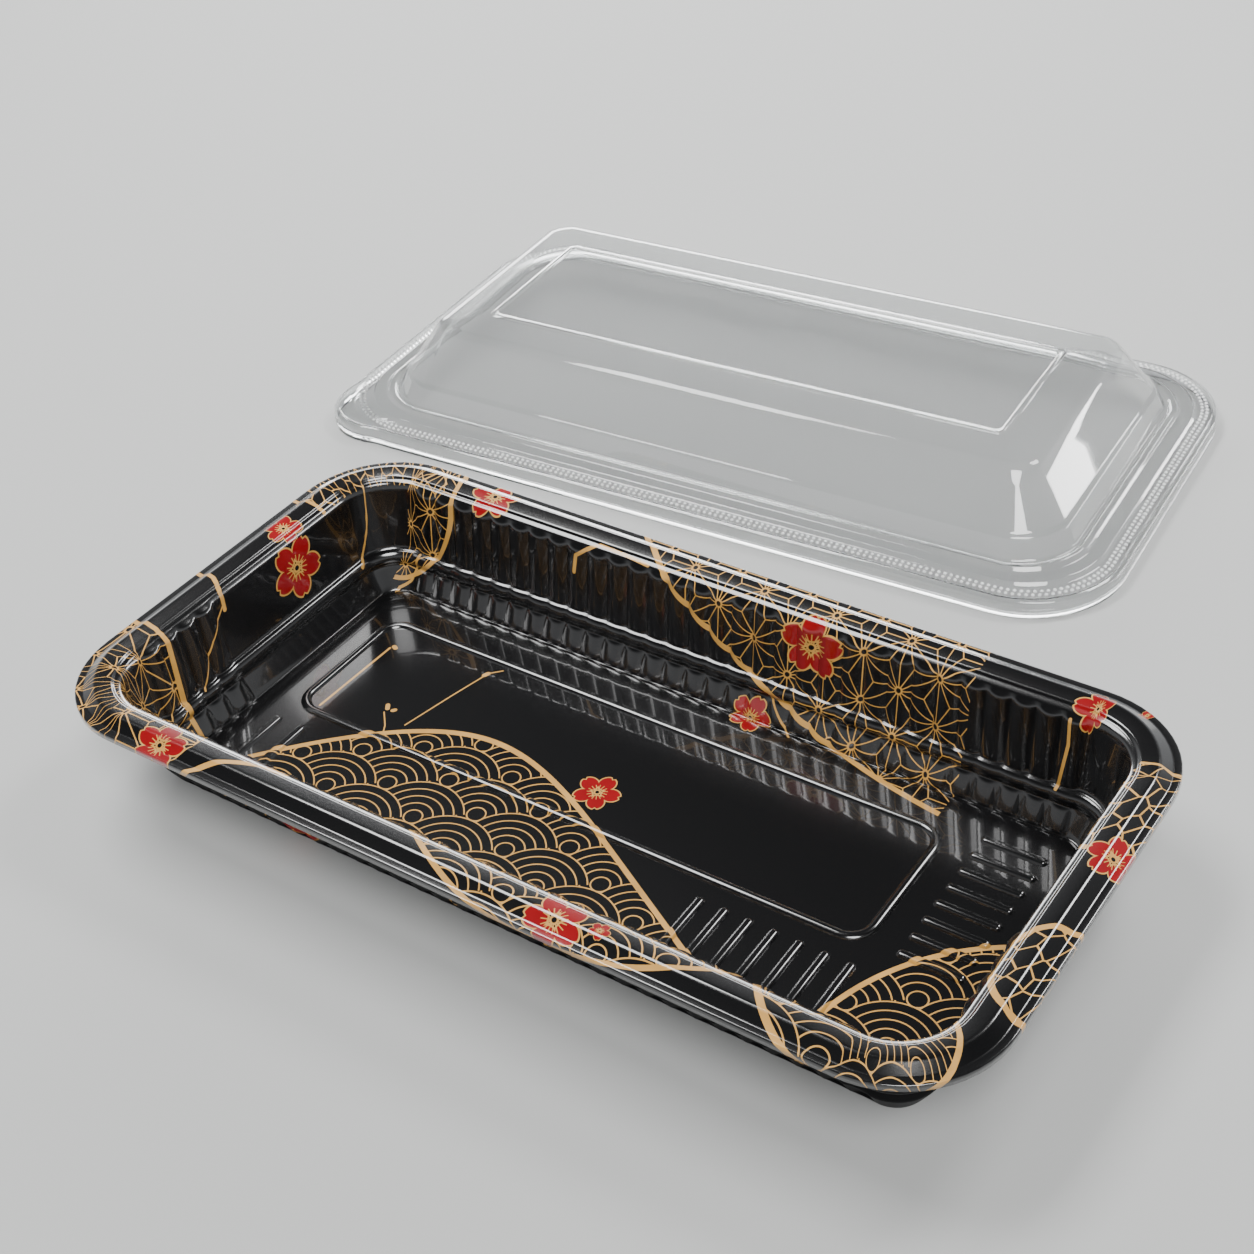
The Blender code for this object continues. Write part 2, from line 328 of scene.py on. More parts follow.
def raised_outline(bm, low, high, rounding, rows, base):
    """Relief on a flat base: rings inset and raised by rows, closed inside. Returns its foot."""
    corner, steps = rounding
    outer = start_outline(bm, low, high, corner, steps, base)
    ring = outer
    smallest = 0.02 * MM
    for inset, rise in rows[1:]:
        shift = inset * MM
        ring = next_ring(
            bm, ring, (low[0] + shift, low[1] + shift), (high[0] - shift, high[1] - shift),
            max(corner - shift, smallest), base + rise * MM)
    bmesh.ops.edgenet_fill(bm, edges=ring)
    return outer


def to_object(bm, name, materials, sharp_degrees=50.0):
    """A finished bmesh as a named object whose mesh holds its place."""
    mesh = bpy.data.meshes.new(name)
    bm.to_mesh(mesh)
    bm.free()
    for material in materials:
        mesh.materials.append(material)
    mesh.shade_smooth()
    mesh.set_sharp_from_angle(angle=math.radians(sharp_degrees))
    obj = bpy.data.objects.new(name, mesh)
    bpy.context.scene.collection.objects.link(obj)
    return obj


def tray_floor_reliefs():
    """Low and high corners of the bars and ribs on the tray's floor, in metres."""
    half_width = 1.45
    past_panel = 1.3
    bar_count, bar_pitch = 7, 7.0
    rib_count, rib_pitch = 2, 8.5
    near_top = PANEL_LOW.y / MM - 5.0
    near_end = near_top - 25.0
    side_count, side_pitch = 8, 6.3
    side_left = PANEL_HIGH.x / MM + 7.0
    side_right = side_left + 18.0

    middles = [PANEL_HIGH.x / MM - bar_pitch * index for index in range(bar_count)]
    middles += [PANEL_LOW.x / MM + past_panel + rib_pitch * index for index in range(rib_count)]
    places = [((x - half_width, near_end), (x + half_width, near_top)) for x in middles]
    middles = [PANEL_HIGH.y / MM + past_panel - side_pitch * index for index in range(side_count)]
    places += [((side_left, y - half_width), (side_right, y + half_width)) for y in middles]
    return [tuple(Vector(spot) * MM for spot in place) for place in places]


def build_tray_mesh(settings):
    """The tray's upper surface as one open sheet. Its UV map is its place on the flat printed sheet."""
    bm = bmesh.new()
    path_layer = bm.verts.layers.float.new("path")
    low, high = TRAY_LOW.xy, TRAY_HIGH.xy
    corner = settings.corner
    centre_x = high.x - corner
    centre_y = high.y - corner
    pitch_x = 2 * centre_x / settings.flutes
    pitch_y = 2 * centre_y / settings.end_pitches

    rim = softened(RIM_ROWS)
    wall = softened(WALL_ROWS)
    rows = [row[:2] for row in rim] + [row[:2] for row in wall]
    paths = [0.0]
    for a, b in zip(reversed(rows[1:]), reversed(rows[:-1])):
        paths.append(paths[-1] + math.dist(a, b))
    paths.reverse()

    def flute(anchor, out):
        """How far the wall stands in at a place, as a share of the relief."""
        straight = 0.999
        fullness = 0.75
        run_x = anchor.x + centre_x
        run_y = anchor.y + centre_y
        if abs(out.y) > straight:
            return abs(math.sin(math.pi * run_x / pitch_x)) ** fullness
        if abs(out.x) > straight and run_y < settings.end_flutes * pitch_y - 1e-6:
            return abs(math.sin(math.pi * run_y / pitch_y)) ** fullness
        return 0.0

    ring = start_outline(bm, low, high, corner, CORNER_STEPS, rim[0][1])
    for edge in ring:
        for vert in edge.verts:
            vert[path_layer] = paths[0]
    for index, (inset, height) in enumerate(rim[1:], 1):
        shift = Vector((inset, inset))
        ring = next_ring(
            bm, ring, low + shift, high - shift, corner - inset, height, path=paths[index])
    samples = 8
    longest_corner_edge = 10 * MM
    ring = cut_straights(
        bm, ring, longest_corner_edge, settings.flutes * samples, settings.end_pitches * samples)
    for edge in ring:
        for vert in edge.verts:
            vert[path_layer] = paths[len(rim) - 1]
    for index, (inset, height, share) in enumerate(wall):
        shift = Vector((inset, inset))
        relief = settings.relief * share
        ring = next_ring(
            bm, ring, low + shift, high - shift, corner - inset, height,
            push=lambda anchor, out: relief * flute(anchor, out), path=paths[len(rim) + index])
    floor_height = wall[-1][1]
    edges = list(ring)
    edges += raised_outline(bm, PANEL_LOW, PANEL_HIGH, PANEL_ROUNDING, BEAD_ROWS, floor_height)
    for place_low, place_high in tray_floor_reliefs():
        edges += raised_outline(bm, place_low, place_high, BAR_ROUNDING, BAR_ROWS, floor_height)
    bmesh.ops.triangle_fill(bm, use_beauty=True, use_dissolve=False, edges=edges, normal=(0, 0, 1))
    bmesh.ops.recalc_face_normals(bm, faces=bm.faces)
    if sum(face.normal.z for face in bm.faces) < 0:
        bmesh.ops.reverse_faces(bm, faces=bm.faces)

    sheet = bm.loops.layers.uv.new("sheet")
    floor_reach = corner - wall[-1][0]
    for face in bm.faces:
        for loop in face.loops:
            spot = loop.vert.co.xy
            path = loop.vert[path_layer]
            if path > 1e-7:
                anchor = Vector((
                    min(max(spot.x, -centre_x), centre_x), min(max(spot.y, -centre_y), centre_y)))
                spot = anchor + (spot - anchor).normalized() * (floor_reach + path)
            loop[sheet].uv = spot
        middle = face.calc_center_median()
        if max(vert[path_layer] for vert in face.verts) < 1e-7:
            side = "floor"
        elif abs(middle.x) - centre_x > abs(middle.y) - centre_y:
            side = "left" if middle.x < 0 else "right"
        else:
            side = "near" if middle.y < 0 else "far"
        face.material_index = list(REGIONS).index(side)
    return bm


def greatest(tree, values, blend=0.0):
    """The greatest of some values, rounded off where they meet, or None where there are none."""
    operation = "SMOOTH_MAX" if blend else "MAXIMUM"
    result = None
    for value in values:
        if result is None:
            result = value
        else:
            result = add(tree, "Math", result, value, blend, operation=operation)
    return result


def bound_gap(tree, spot, bound):
    """How far a place is outside a bound, in mm: a disc, its outside, or one side of a line."""
    kind, a, b, size = bound
    if kind == "side":
        across = add(tree, "VectorMath", spot, (a, b, 0.0), operation="DOT_PRODUCT")
        return add(tree, "Math", across, size, operation="SUBTRACT")
    distance = add(tree, "VectorMath", spot, (a, b, 0.0), operation="DISTANCE")
    if kind == "disc":
        return add(tree, "Math", distance, size, operation="SUBTRACT")
    return add(tree, "Math", size, distance, operation="SUBTRACT")


def waves(tree, spot, origin, turn, size):
    """Seigaiha: rows of nested arcs 2.7 mm apart. Each lies over the next and the row behind."""
    pitch, radius, gap, line = 16.5, 13.5, 2.7, 0.4
    local = add(
        tree, "Mapping", spot, (*origin, 0.0), (0.0, 0.0, turn), (size, size, 1.0),
        vector_type="TEXTURE")
    axes = add(tree, "SeparateXYZ", local)
    across, along = axes.outputs[0], axes.outputs[1]
    rise = add(tree, "Math", along, radius, operation="FLOORED_MODULO")
    number = add(tree, "Math", along, radius, operation="DIVIDE")
    number = add(tree, "Math", number, operation="FLOOR")
    odd = add(tree, "Math", number, 2.0, operation="FLOORED_MODULO")
    shifted = add(tree, "Math", odd, -pitch / 2, across, operation="MULTIPLY_ADD")
    left = add(tree, "Math", shifted, pitch, operation="FLOORED_MODULO")
    behind = add(tree, "Math", left, -pitch / 2)
    right = add(tree, "Math", left, -pitch)
    above = add(tree, "Math", rise, -radius)
    reach = None
    for sideways, height in ((behind, above), (right, rise), (left, rise)):
        spoke = add(tree, "CombineXYZ", sideways, height)
        length = add(tree, "VectorMath", spoke, operation="LENGTH")
        if reach is None:
            reach = length
            continue
        covers = add(tree, "Math", length, radius, operation="LESS_THAN")
        reach = add(tree, "Mix", covers, reach, length, data_type="FLOAT")
    depth = add(tree, "Math", radius, reach, operation="SUBTRACT")
    phase = add(tree, "Math", depth, gap, operation="FLOORED_MODULO")
    return add(tree, "Math", phase, line / size, operation="LESS_THAN")


def stars(tree, spot, origin, turn, size):
    """Asanoha: twelve rays from each point of a triangle lattice, which are 14.6 mm apart."""
    gap, line, narrow = 14.6, 0.34, 0.86
    ring_radius, ring_half_width, centre_radius = 1.05, 0.3, 0.8
    wide = gap * math.sqrt(3)
    local = add(
        tree, "Mapping", spot, (*origin, 0.0), (0.0, 0.0, turn), (narrow * size, size, 1.0),
        vector_type="TEXTURE")
    moved = add(tree, "VectorMath", local, (wide / 2, gap / 2, 0.0), operation="ADD")
    most, least = (wide / 2, gap / 2, 1.0), (-wide / 2, -gap / 2, -1.0)
    near, far = (
        add(tree, "VectorMath", start, most, least, operation="WRAP") for start in (local, moved))
    near_length = add(tree, "VectorMath", near, operation="LENGTH")
    far_length = add(tree, "VectorMath", far, operation="LENGTH")
    nearer = add(tree, "Math", far_length, near_length, operation="LESS_THAN")
    spoke = add(tree, "Mix", nearer, near, far, data_type="VECTOR")
    length = add(tree, "Math", near_length, far_length, operation="MINIMUM")
    axes = add(tree, "SeparateXYZ", spoke)
    angle = add(tree, "Math", axes.outputs[1], axes.outputs[0], operation="ARCTAN2")
    off_ray = add(tree, "Math", angle, math.radians(15), -math.radians(15), operation="WRAP")
    away = add(tree, "Math", off_ray, operation="SINE")
    away = add(tree, "Math", away, length, operation="MULTIPLY")
    away = add(tree, "Math", away, operation="ABSOLUTE")
    ray = add(tree, "Math", away, line / 2, operation="LESS_THAN")
    ring = add(tree, "Math", length, ring_radius, ring_half_width, operation="COMPARE")
    open_centre = add(tree, "Math", length, centre_radius, operation="GREATER_THAN")
    rays = add(tree, "Math", ray, open_centre, operation="MULTIPLY")
    return add(tree, "Math", rays, ring, operation="MAXIMUM")


def leaves(tree, spot, origin, turn, size):
    """Loose outlines like overlapping leaves, about 7 mm long and 4.5 mm broad."""
    longer = 1.6
    leaves_per_mm = 0.22
    half_line = 0.04
    local = add(
        tree, "Mapping", spot, (*origin, 0.0), (0.0, 0.0, turn), (size * longer, size, 1.0),
        vector_type="TEXTURE")
    cells = add(
        tree, "TexVoronoi", local, leaves_per_mm, voronoi_dimensions="2D",
        feature="DISTANCE_TO_EDGE")
    return add(tree, "Math", cells, half_line, operation="LESS_THAN")


def printed_panel(tree, spot, panel, drawn_patterns):
    """A bounded piece of pattern with its thick gold outline. A pattern drawn before is used again."""
    pattern, origin, turn, size, outline, drawn, cut = panel
    corner_blend = 60.0
    outer = greatest(tree, [bound_gap(tree, spot, bound) for bound in drawn], blend=corner_blend)
    limit = greatest(tree, [bound_gap(tree, spot, bound) for bound in cut])
    masks = []
    if pattern:
        whole = greatest(tree, [gap for gap in (outer, limit) if gap])
        within = add(tree, "Math", whole, 0.0, operation="LESS_THAN")
        placing = (pattern, origin, turn, size)
        if placing not in drawn_patterns:
            drawn_patterns[placing] = pattern(tree, spot, origin, turn, size)
        masks.append(add(tree, "Math", drawn_patterns[placing], within, operation="MULTIPLY"))
    if outer:
        edge = add(tree, "Math", outer, 0.0, outline / 2, operation="COMPARE")
        if limit:
            within = add(tree, "Math", limit, 0.0, operation="LESS_THAN")
            edge = add(tree, "Math", edge, within, operation="MULTIPLY")
        masks.append(edge)
    return greatest(tree, masks)


def twig_mask(tree, spot, twig):
    """A mask of a twig: straight pieces of one width, with round ends."""
    width, points = twig
    pieces = []
    for (x, y), (next_x, next_y) in zip(points, points[1:]):
        run = math.hypot(next_x - x, next_y - y)
        turn = math.atan2(next_y - y, next_x - x)
        local = add(tree, "Mapping", spot, (x, y, 0.0), (0.0, 0.0, turn), vector_type="TEXTURE")
        nearest = add(tree, "VectorMath", local, (0.0, 0.0, 0.0), operation="MAXIMUM")
        nearest = add(tree, "VectorMath", nearest, (run, 0.0, 0.0), operation="MINIMUM")
        away = add(tree, "VectorMath", local, nearest, operation="DISTANCE")
        pieces.append(add(tree, "Math", away, width / 2, operation="LESS_THAN"))
    return greatest(tree, pieces)


def blossoms(tree, spot, places):
    """Five-petalled blossoms: masks of the gold lines, the red petals and the whole shape.

    Lengths inside a blossom are shares of its radius.
    """
    petal_middle, petal_half_length, petal_half_width, red_share = 0.57, 0.42, 0.38, 0.87
    notch_start, notch_half_width, notch_depth = 0.8, 0.09, 0.22
    stamen_middle, stamen_half_length, stamen_half_width = 0.27, 0.14, 0.016
    ring_radius, ring_half_width, centre_radius, eye_radius = 0.11, 0.03, 0.14, 0.08
    petal_turn = math.radians(36)
    stamen_turn = math.radians(12)

    best = nearest = None
    for x, y, radius, turn in places:
        local = add(
            tree, "Mapping", spot, (x, y, 0.0), (0.0, 0.0, math.radians(turn)),
            (radius, radius, 1.0), vector_type="TEXTURE")
        length = add(tree, "VectorMath", local, operation="LENGTH")
        if best is None:
            best, nearest = local, length
            continue
        closer = add(tree, "Math", length, nearest, operation="LESS_THAN")
        best = add(tree, "Mix", closer, best, local, data_type="VECTOR")
        nearest = add(tree, "Math", length, nearest, operation="MINIMUM")
    axes = add(tree, "SeparateXYZ", best)
    angle = add(tree, "Math", axes.outputs[1], axes.outputs[0], operation="ARCTAN2")
    own_angle = add(tree, "Math", angle, petal_turn, -petal_turn, operation="WRAP")
    cosine = add(tree, "Math", own_angle, operation="COSINE")
    outward = add(tree, "Math", cosine, nearest, operation="MULTIPLY")
    sine = add(tree, "Math", own_angle, operation="SINE")
    sideways = add(tree, "Math", sine, nearest, operation="MULTIPLY")
    sideways = add(tree, "Math", sideways, operation="ABSOLUTE")
    spoke = add(tree, "CombineXYZ", outward, sideways)
    oval = add(
        tree, "Mapping", spoke, (petal_middle, 0.0, 0.0), (0.0, 0.0, 0.0),
        (petal_half_length, petal_half_width, 1.0), vector_type="TEXTURE")
    edge = add(tree, "VectorMath", oval, operation="LENGTH")
    notch = add(tree, "MapRange", sideways, 0.0, notch_half_width, notch_depth, 0.0)
    tip = add(tree, "Math", outward, notch_start, operation="GREATER_THAN")
    edge = add(tree, "Math", notch, tip, edge, operation="MULTIPLY_ADD")
    whole = add(tree, "Math", edge, 1.0, operation="LESS_THAN")
    red = add(tree, "Math", edge, red_share, operation="LESS_THAN")
    stamen_angle = add(tree, "Math", angle, stamen_turn, -stamen_turn, operation="WRAP")
    stamen_sine = add(tree, "Math", stamen_angle, operation="SINE")
    off_stamen = add(tree, "Math", stamen_sine, nearest, operation="MULTIPLY")
    stamen = add(tree, "Math", off_stamen, 0.0, stamen_half_width, operation="COMPARE")
    length = add(
        tree, "Math", nearest, stamen_middle, stamen_half_length, operation="COMPARE")
    stamen = add(tree, "Math", stamen, length, operation="MULTIPLY")
    ring = add(tree, "Math", nearest, ring_radius, ring_half_width, operation="COMPARE")
    inner = add(tree, "Math", stamen, ring, operation="MAXIMUM")
    outline = add(tree, "Math", whole, red, operation="SUBTRACT")
    gold = add(tree, "Math", outline, inner, operation="MAXIMUM")
    centre = add(tree, "Math", nearest, centre_radius, operation="LESS_THAN")
    whole = add(tree, "Math", whole, centre, operation="MAXIMUM")
    off_centre = add(tree, "Math", nearest, eye_radius, operation="GREATER_THAN")
    red = add(tree, "Math", red, off_centre, operation="MULTIPLY")
    return gold, red, whole


# Blossoms on the sheet: where, radius in mm, turn in degrees. The first four lie across two regions
FLOOR_EDGE_BLOSSOM = (13.2, 48.9, 6.6, 0)
NEAR_LEFT_BLOSSOM = (-88.6, -91.8, 8.0, 20)
FAR_RIGHT_BLOSSOM = (106.6, 85.8, 7.6, 40)
FAR_RIGHT_BUD = (127.4, 88.8, 3.0, 0)
FLOOR_BLOSSOMS = ((-6.2, 3.0, 6.8, 10), FLOOR_EDGE_BLOSSOM)
NEAR_BLOSSOMS = (NEAR_LEFT_BLOSSOM, (32.0, -90.6, 8.2, 50), (42.8, -88.3, 2.8, 0))
FAR_BLOSSOMS = (
    (-79.5, 88.2, 8.0, 30), (28.4, 76.3, 9.6, 18), FLOOR_EDGE_BLOSSOM, FAR_RIGHT_BLOSSOM,
    FAR_RIGHT_BUD)
LEFT_BLOSSOMS = ((-137.0, 18.2, 9.8, 0), (-150.0, 20.5, 6.0, 60), NEAR_LEFT_BLOSSOM)
RIGHT_BLOSSOMS = (
    (155.5, 14.5, 7.0, 25), (162.0, 55.0, 5.0, 0), FAR_RIGHT_BLOSSOM, FAR_RIGHT_BUD)

# Twigs on the sheet: width in mm, then the points of their straight pieces
FAR_LEFT_TWIG = (1.0, ((-141.0, 62.8), (-132.2, 53.8), (-123.0, 40.1)))
FLOOR_TWIGS = (
    (0.7, ((-93.8, -6.3), (-92.9, 23.3))),
    (1.4, ((-92.2, 24.4), (-91.4, 24.0))),
    (0.45, ((-58.0, 31.0), (-60.9, 28.0), (-64.0, 15.0), (-67.5, -1.1))),
    (1.4, ((-60.9, 28.0), (-61.4, 26.8))),
    (1.3, ((-77.1, 3.2), (-76.2, 1.9))),
    (1.3, ((-74.0, 2.5), (-74.4, 2.0))),
    (0.4, ((-76.1, 0.3), (-72.3, -3.9), (-70.7, -6.7))),
)
FAR_TWIGS = (
    (1.1, ((-47.5, 74.0), (-46.8, 79.6), (-40.4, 84.2), (-32.0, 83.8), (-24.0, 83.0))),
    (0.6, ((17.0, 57.0), (21.9, 51.0), (26.5, 45.4), (30.0, 41.0))),
    (0.9, ((100.2, 81.3), (100.7, 74.3), (99.3, 60.0))),
    (0.9, ((-103.3, 60.7), (-105.7, 51.2), (-108.8, 47.5), (-109.2, 38.5))),
    FAR_LEFT_TWIG,
)
LEFT_TWIGS = (
    (1.3, ((-158.6, -6.3), (-151.3, -7.0), (-146.2, -9.7), (-141.0, -10.2))),
    (0.5, ((-143.0, -9.9), (-135.8, -18.0), (-124.0, -26.2))),
    FAR_LEFT_TWIG,
)

# Panels on the sheet: pattern, origin, turn, size, outline's width, drawn bounds, other bounds
FLOOR_PLACING = (waves, (-28.7, -19.6), math.radians(33), 1.0)
FLOOR_WAVES = (
    *FLOOR_PLACING, 1.5,
    (("side", -0.6, 0.8, 41.5), ("side", 0.489, 0.872, -7.0), ("side", -0.9, 0.436, 83.0)), ())
CORNER_WAVES = (*FLOOR_PLACING, 1.5, (("disc", 141.1, -44.6, 61.2),), ())
NEAR_WAVES = (
    waves, (32.6, -84.0), math.radians(20), 1.0, 1.4, (("disc", 29.0, -26.0, 71.5),), ())
RIM_WAVES = (
    waves, (118.0, -88.0), math.radians(20), 1.15, 1.8, (("disc", 111.0, -64.0, 36.5),), ())
FAR_STARS = (
    stars, (43.4, 80.0), 0.0, 1.0, 1.6, (("disc", 99.5, 215.9, 178.2),),
    (("side", 1.0, 0.0, 74.0),))
FAR_LEFT_STARS = (
    stars, (-99.0, 76.8), 0.0, 1.0, 1.4, (("disc", -125.0, 80.0, 33.5),),
    (("side", -1.0, 0.0, 112.0),))
NEAR_LEFT_STARS = (
    stars, (-131.4, -86.8), 0.0, 1.2, 1.4, (("side", 0.067, 1.0, -41.56),),
    (("side", 1.0, 0.0, -80.0),))
NEAR_LEFT_ARC = (
    None, None, None, None, 1.6, (("disc", -50.0, -118.0, 35.0),), (("side", 1.0, 0.0, -53.0),))
FAR_LEFT_LEAVES = (
    leaves, (0.0, 0.0), math.radians(-30), 1.0, 1.2, (("side", 0.0, -1.0, -34.0),),
    (("outside", -104.5, 40.75, 41.5), ("side", 1.0, 0.0, -96.0)))
RIGHT_LEAVES = (
    leaves, (0.0, 0.0), math.radians(60), 1.0, 1.4,
    (("side", 0.0, 1.0, 56.0), ("side", 0.0, -1.0, -15.0)), (("side", -1.0, 0.0, -146.0),))
RIGHT_ARC = (
    leaves, (3.0, 1.0), math.radians(60), 0.9, 1.6, (("disc", 160.0, -24.0, 14.5),),
    (("side", -1.0, 0.0, -146.0),))

# What each of the tray's regions carries: panels, twigs, blossoms
REGIONS = {
    "floor": ((FLOOR_WAVES, CORNER_WAVES, FAR_STARS), FLOOR_TWIGS, FLOOR_BLOSSOMS),
    "near": ((NEAR_WAVES, RIM_WAVES, NEAR_LEFT_STARS, NEAR_LEFT_ARC), (), NEAR_BLOSSOMS),
    "far": ((FAR_STARS, FAR_LEFT_STARS, FAR_LEFT_LEAVES), FAR_TWIGS, FAR_BLOSSOMS),
    "left": ((NEAR_LEFT_STARS, FAR_LEFT_LEAVES), LEFT_TWIGS, LEFT_BLOSSOMS),
    "right": ((RIM_WAVES, RIGHT_LEAVES, RIGHT_ARC), (), RIGHT_BLOSSOMS),
}

# The underside has a few strokes and one blossom, on the near wall
UNDERSIDE = (
    (),
    (
        (0.7, ((-92.0, -78.0), (-88.0, -66.0), (-85.0, -54.0))),
        (0.7, ((-84.0, -78.0), (-80.0, -68.0), (-78.0, -56.0))),
        (0.6, ((-76.0, -78.0), (-72.0, -66.0), (-71.0, -54.0))),
        (0.7, ((-26.0, -78.0), (-22.0, -66.0), (-20.0, -54.0))),
        (0.7, ((-16.0, -78.0), (-14.0, -64.0), (-10.0, -54.0))),
        (0.7, ((12.0, -78.0), (15.0, -66.0), (18.0, -54.0))),
        (0.7, ((24.0, -78.0), (22.0, -66.0), (26.0, -54.0))),
        (0.8, ((84.0, -80.0), (85.0, -68.0), (86.0, -52.0))),
    ),
    ((-61.0, -55.5, 6.4, 100),),
)


def printed_styrene(name, region, colours, film=True):
    """Black high-impact polystyrene sheet, printed in gold and red under a clear film, then formed.

    The film gives every colour the same hard gloss, with a faint ripple from the vacuum forming. The
    underside has no film, so it is duller and stays black beside a pale table.
    """
    panels, twigs, flowers = region
    sheet_roughness, gold_roughness = 0.2 if film else 0.45, 0.42
    # Clouds in the ink are about 8 mm across, and the forming ripples about 6 mm
    clouds_per_mm, ripples_per_metre, ripple_depth = 0.12, 160.0, 0.04 * MM
    material, shader = principled(name)
    tree = material.node_tree
    sheet = add(tree, "UVMap", uv_map="sheet")
    spot = add(tree, "VectorMath", sheet, 1 / MM, operation="SCALE")

    drawn_patterns = {}
    lines = [printed_panel(tree, spot, panel, drawn_patterns) for panel in panels]
    lines += [twig_mask(tree, spot, twig) for twig in twigs]
    gold = greatest(tree, lines)
    flower_gold, red, whole = blossoms(tree, spot, flowers)
    beside = add(tree, "Math", 1.0, whole, operation="SUBTRACT")
    gold = add(tree, "Math", gold, beside, operation="MULTIPLY")
    gold = add(tree, "Math", gold, flower_gold, operation="MAXIMUM")

    cloud = add(tree, "TexNoise", spot, clouds_per_mm, 2.0, noise_dimensions="2D")
    gold_tone = add(tree, "Mix", cloud, colours.gold_deep, colours.gold_bright, data_type="RGBA")
    red_tone = add(tree, "Mix", cloud, colours.red_deep, colours.red_bright, data_type="RGBA")
    colour = add(tree, "Mix", gold, colours.black, gold_tone, data_type="RGBA")
    off_gold = add(tree, "Math", 1.0, flower_gold, operation="SUBTRACT")
    only_red = add(tree, "Math", red, off_gold, operation="MULTIPLY")
    colour = add(tree, "Mix", only_red, colour, red_tone, data_type="RGBA")
    roughness = add(tree, "Mix", gold, sheet_roughness, gold_roughness, data_type="FLOAT")
    place = add(tree, "TexCoord")
    ripple = add(tree, "TexNoise", place.outputs["Object"], ripples_per_metre, 1.0)
    bump = add(tree, "Bump", 0.25, ripple_depth, None, ripple)
    feed(tree, shader.inputs["Base Color"], colour)
    feed(tree, shader.inputs["Roughness"], roughness)
    feed(tree, shader.inputs["Normal"], bump)
    shader.inputs["Coat Weight"].default_value = 1.0 if film else 0.0
    shader.inputs["Coat Roughness"].default_value = 0.04
    shader.inputs["IOR"].default_value = 1.55 if film else 1.2
    return material


def clear_pet(name, roughness, clearness):
    """Clear PET sheet, vacuum formed: polished, nearly colourless, bright only at its bends.

    Small embossed dots stretch it, which makes it a little white and less polished there.
    """
    material, shader = principled(name)
    shader.inputs["Base Color"].default_value = linear("#FCFDFD")
    shader.inputs["Roughness"].default_value = roughness
    shader.inputs["IOR"].default_value = 1.55
    shader.inputs["Transmission Weight"].default_value = clearness
    return material


def even_places(half, corner, pitch):
    """Places a pitch apart round a rounded rectangle about the origin."""
    arc = corner * math.pi / 2
    sides = [2 * (half.x - corner), 2 * (half.y - corner)] * 2
    total = sum(sides) + 4 * arc
    count = round(total / pitch)
    for number in range(count):
        run = number * total / count
        for quarter, side in enumerate(sides):
            direction = Vector((1.0, 0.0)) if quarter % 2 == 0 else Vector((0.0, 1.0))
            outward = Vector((direction.y, -direction.x))
            sign = 1.0 if quarter < 2 else -1.0
            centre = Vector((-1.0 if quarter in (0, 3) else 1.0, -1.0 if quarter < 2 else 1.0))
            centre = Vector((centre.x * (half.x - corner), centre.y * (half.y - corner)))
            if run < side:
                yield centre + sign * (direction * run + outward * corner)
                break
            run -= side
            if run < arc:
                turn = Matrix.Rotation(run / corner, 2)
                yield centre + sign * (direction * side + turn @ outward * corner)
                break
            run -= arc


def lid_half(scene):
    """Half the lid's length and depth, and its corners' radius."""
    over = scene.sushi_lid.over_tray
    return (TRAY_HIGH.xy - TRAY_LOW.xy) / 2 + Vector((over, over)), scene.sushi_tray.corner + over


def lid_place(settings):
    """Where the lid lies on the table."""
    return Matrix.Translation(LID_CENTRE) @ Matrix.Rotation(settings.yaw, 4, "Z")


def build_lid_mesh(settings, half, corner):
    """The lid's upper surface as one open sheet, where it lies on the table."""
    bm = bmesh.new()
    bm.verts.layers.float.new("path")
    rows = softened(LID_ROWS)
    tab_end = 6.5 * MM
    smallest = 8.0 * MM

    def tab(out):
        """The pull tab's reach in a direction from the near left corner's centre."""
        off_diagonal = out.angle(Vector((-1.0, -1.0)))
        half_angle = math.radians(34.0)
        if off_diagonal >= half_angle:
            return 0.0
        return settings.tab * math.cos(off_diagonal / half_angle * math.pi / 2)

    ring = start_outline(bm, -half, half, corner, CORNER_STEPS, rows[0][1])
    first = True
    for inset, height in rows:
        shift = Vector((inset, inset))
        radius = max(corner - settings.shrink * inset, smallest)
        old = ring
        ring = next_ring(
            bm, ring, shift - half, half - shift, radius, height,
            bulge=tab if inset < tab_end else None)
        if first:
            unused = dict.fromkeys(vert for edge in old for vert in edge.verts)
            bmesh.ops.delete(bm, geom=list(unused), context="VERTS")
            first = False
    top = rows[-1][1]
    inset = rows[-1][0]
    radius = max(corner - settings.shrink * inset, smallest)
    for extra, rise in BEAD_ROWS[1:]:
        step = Vector((inset + extra * MM, inset + extra * MM))
        ring = next_ring(
            bm, ring, step - half, half - step, max(radius - extra * MM, 1 * MM), top + rise * MM)
    bmesh.ops.edgenet_fill(bm, edges=ring)
    bmesh.ops.recalc_face_normals(bm, faces=bm.faces)
    if sum(face.normal.z for face in bm.faces) < 0:
        bmesh.ops.reverse_faces(bm, faces=bm.faces)
    bmesh.ops.transform(bm, matrix=lid_place(settings), verts=bm.verts)
    return bm


def studio_floor(settings):
    """Plain pale matt paper, as a floor that only the studio has."""
    bm = bmesh.new()
    bmesh.ops.create_grid(bm, x_segments=1, y_segments=1, size=4.0)
    material, shader = principled("pale_paper_floor")
    shader.inputs["Base Color"].default_value = settings.floor
    shader.inputs["Roughness"].default_value = 0.7
    floor = to_object(bm, "studio_floor", [material])


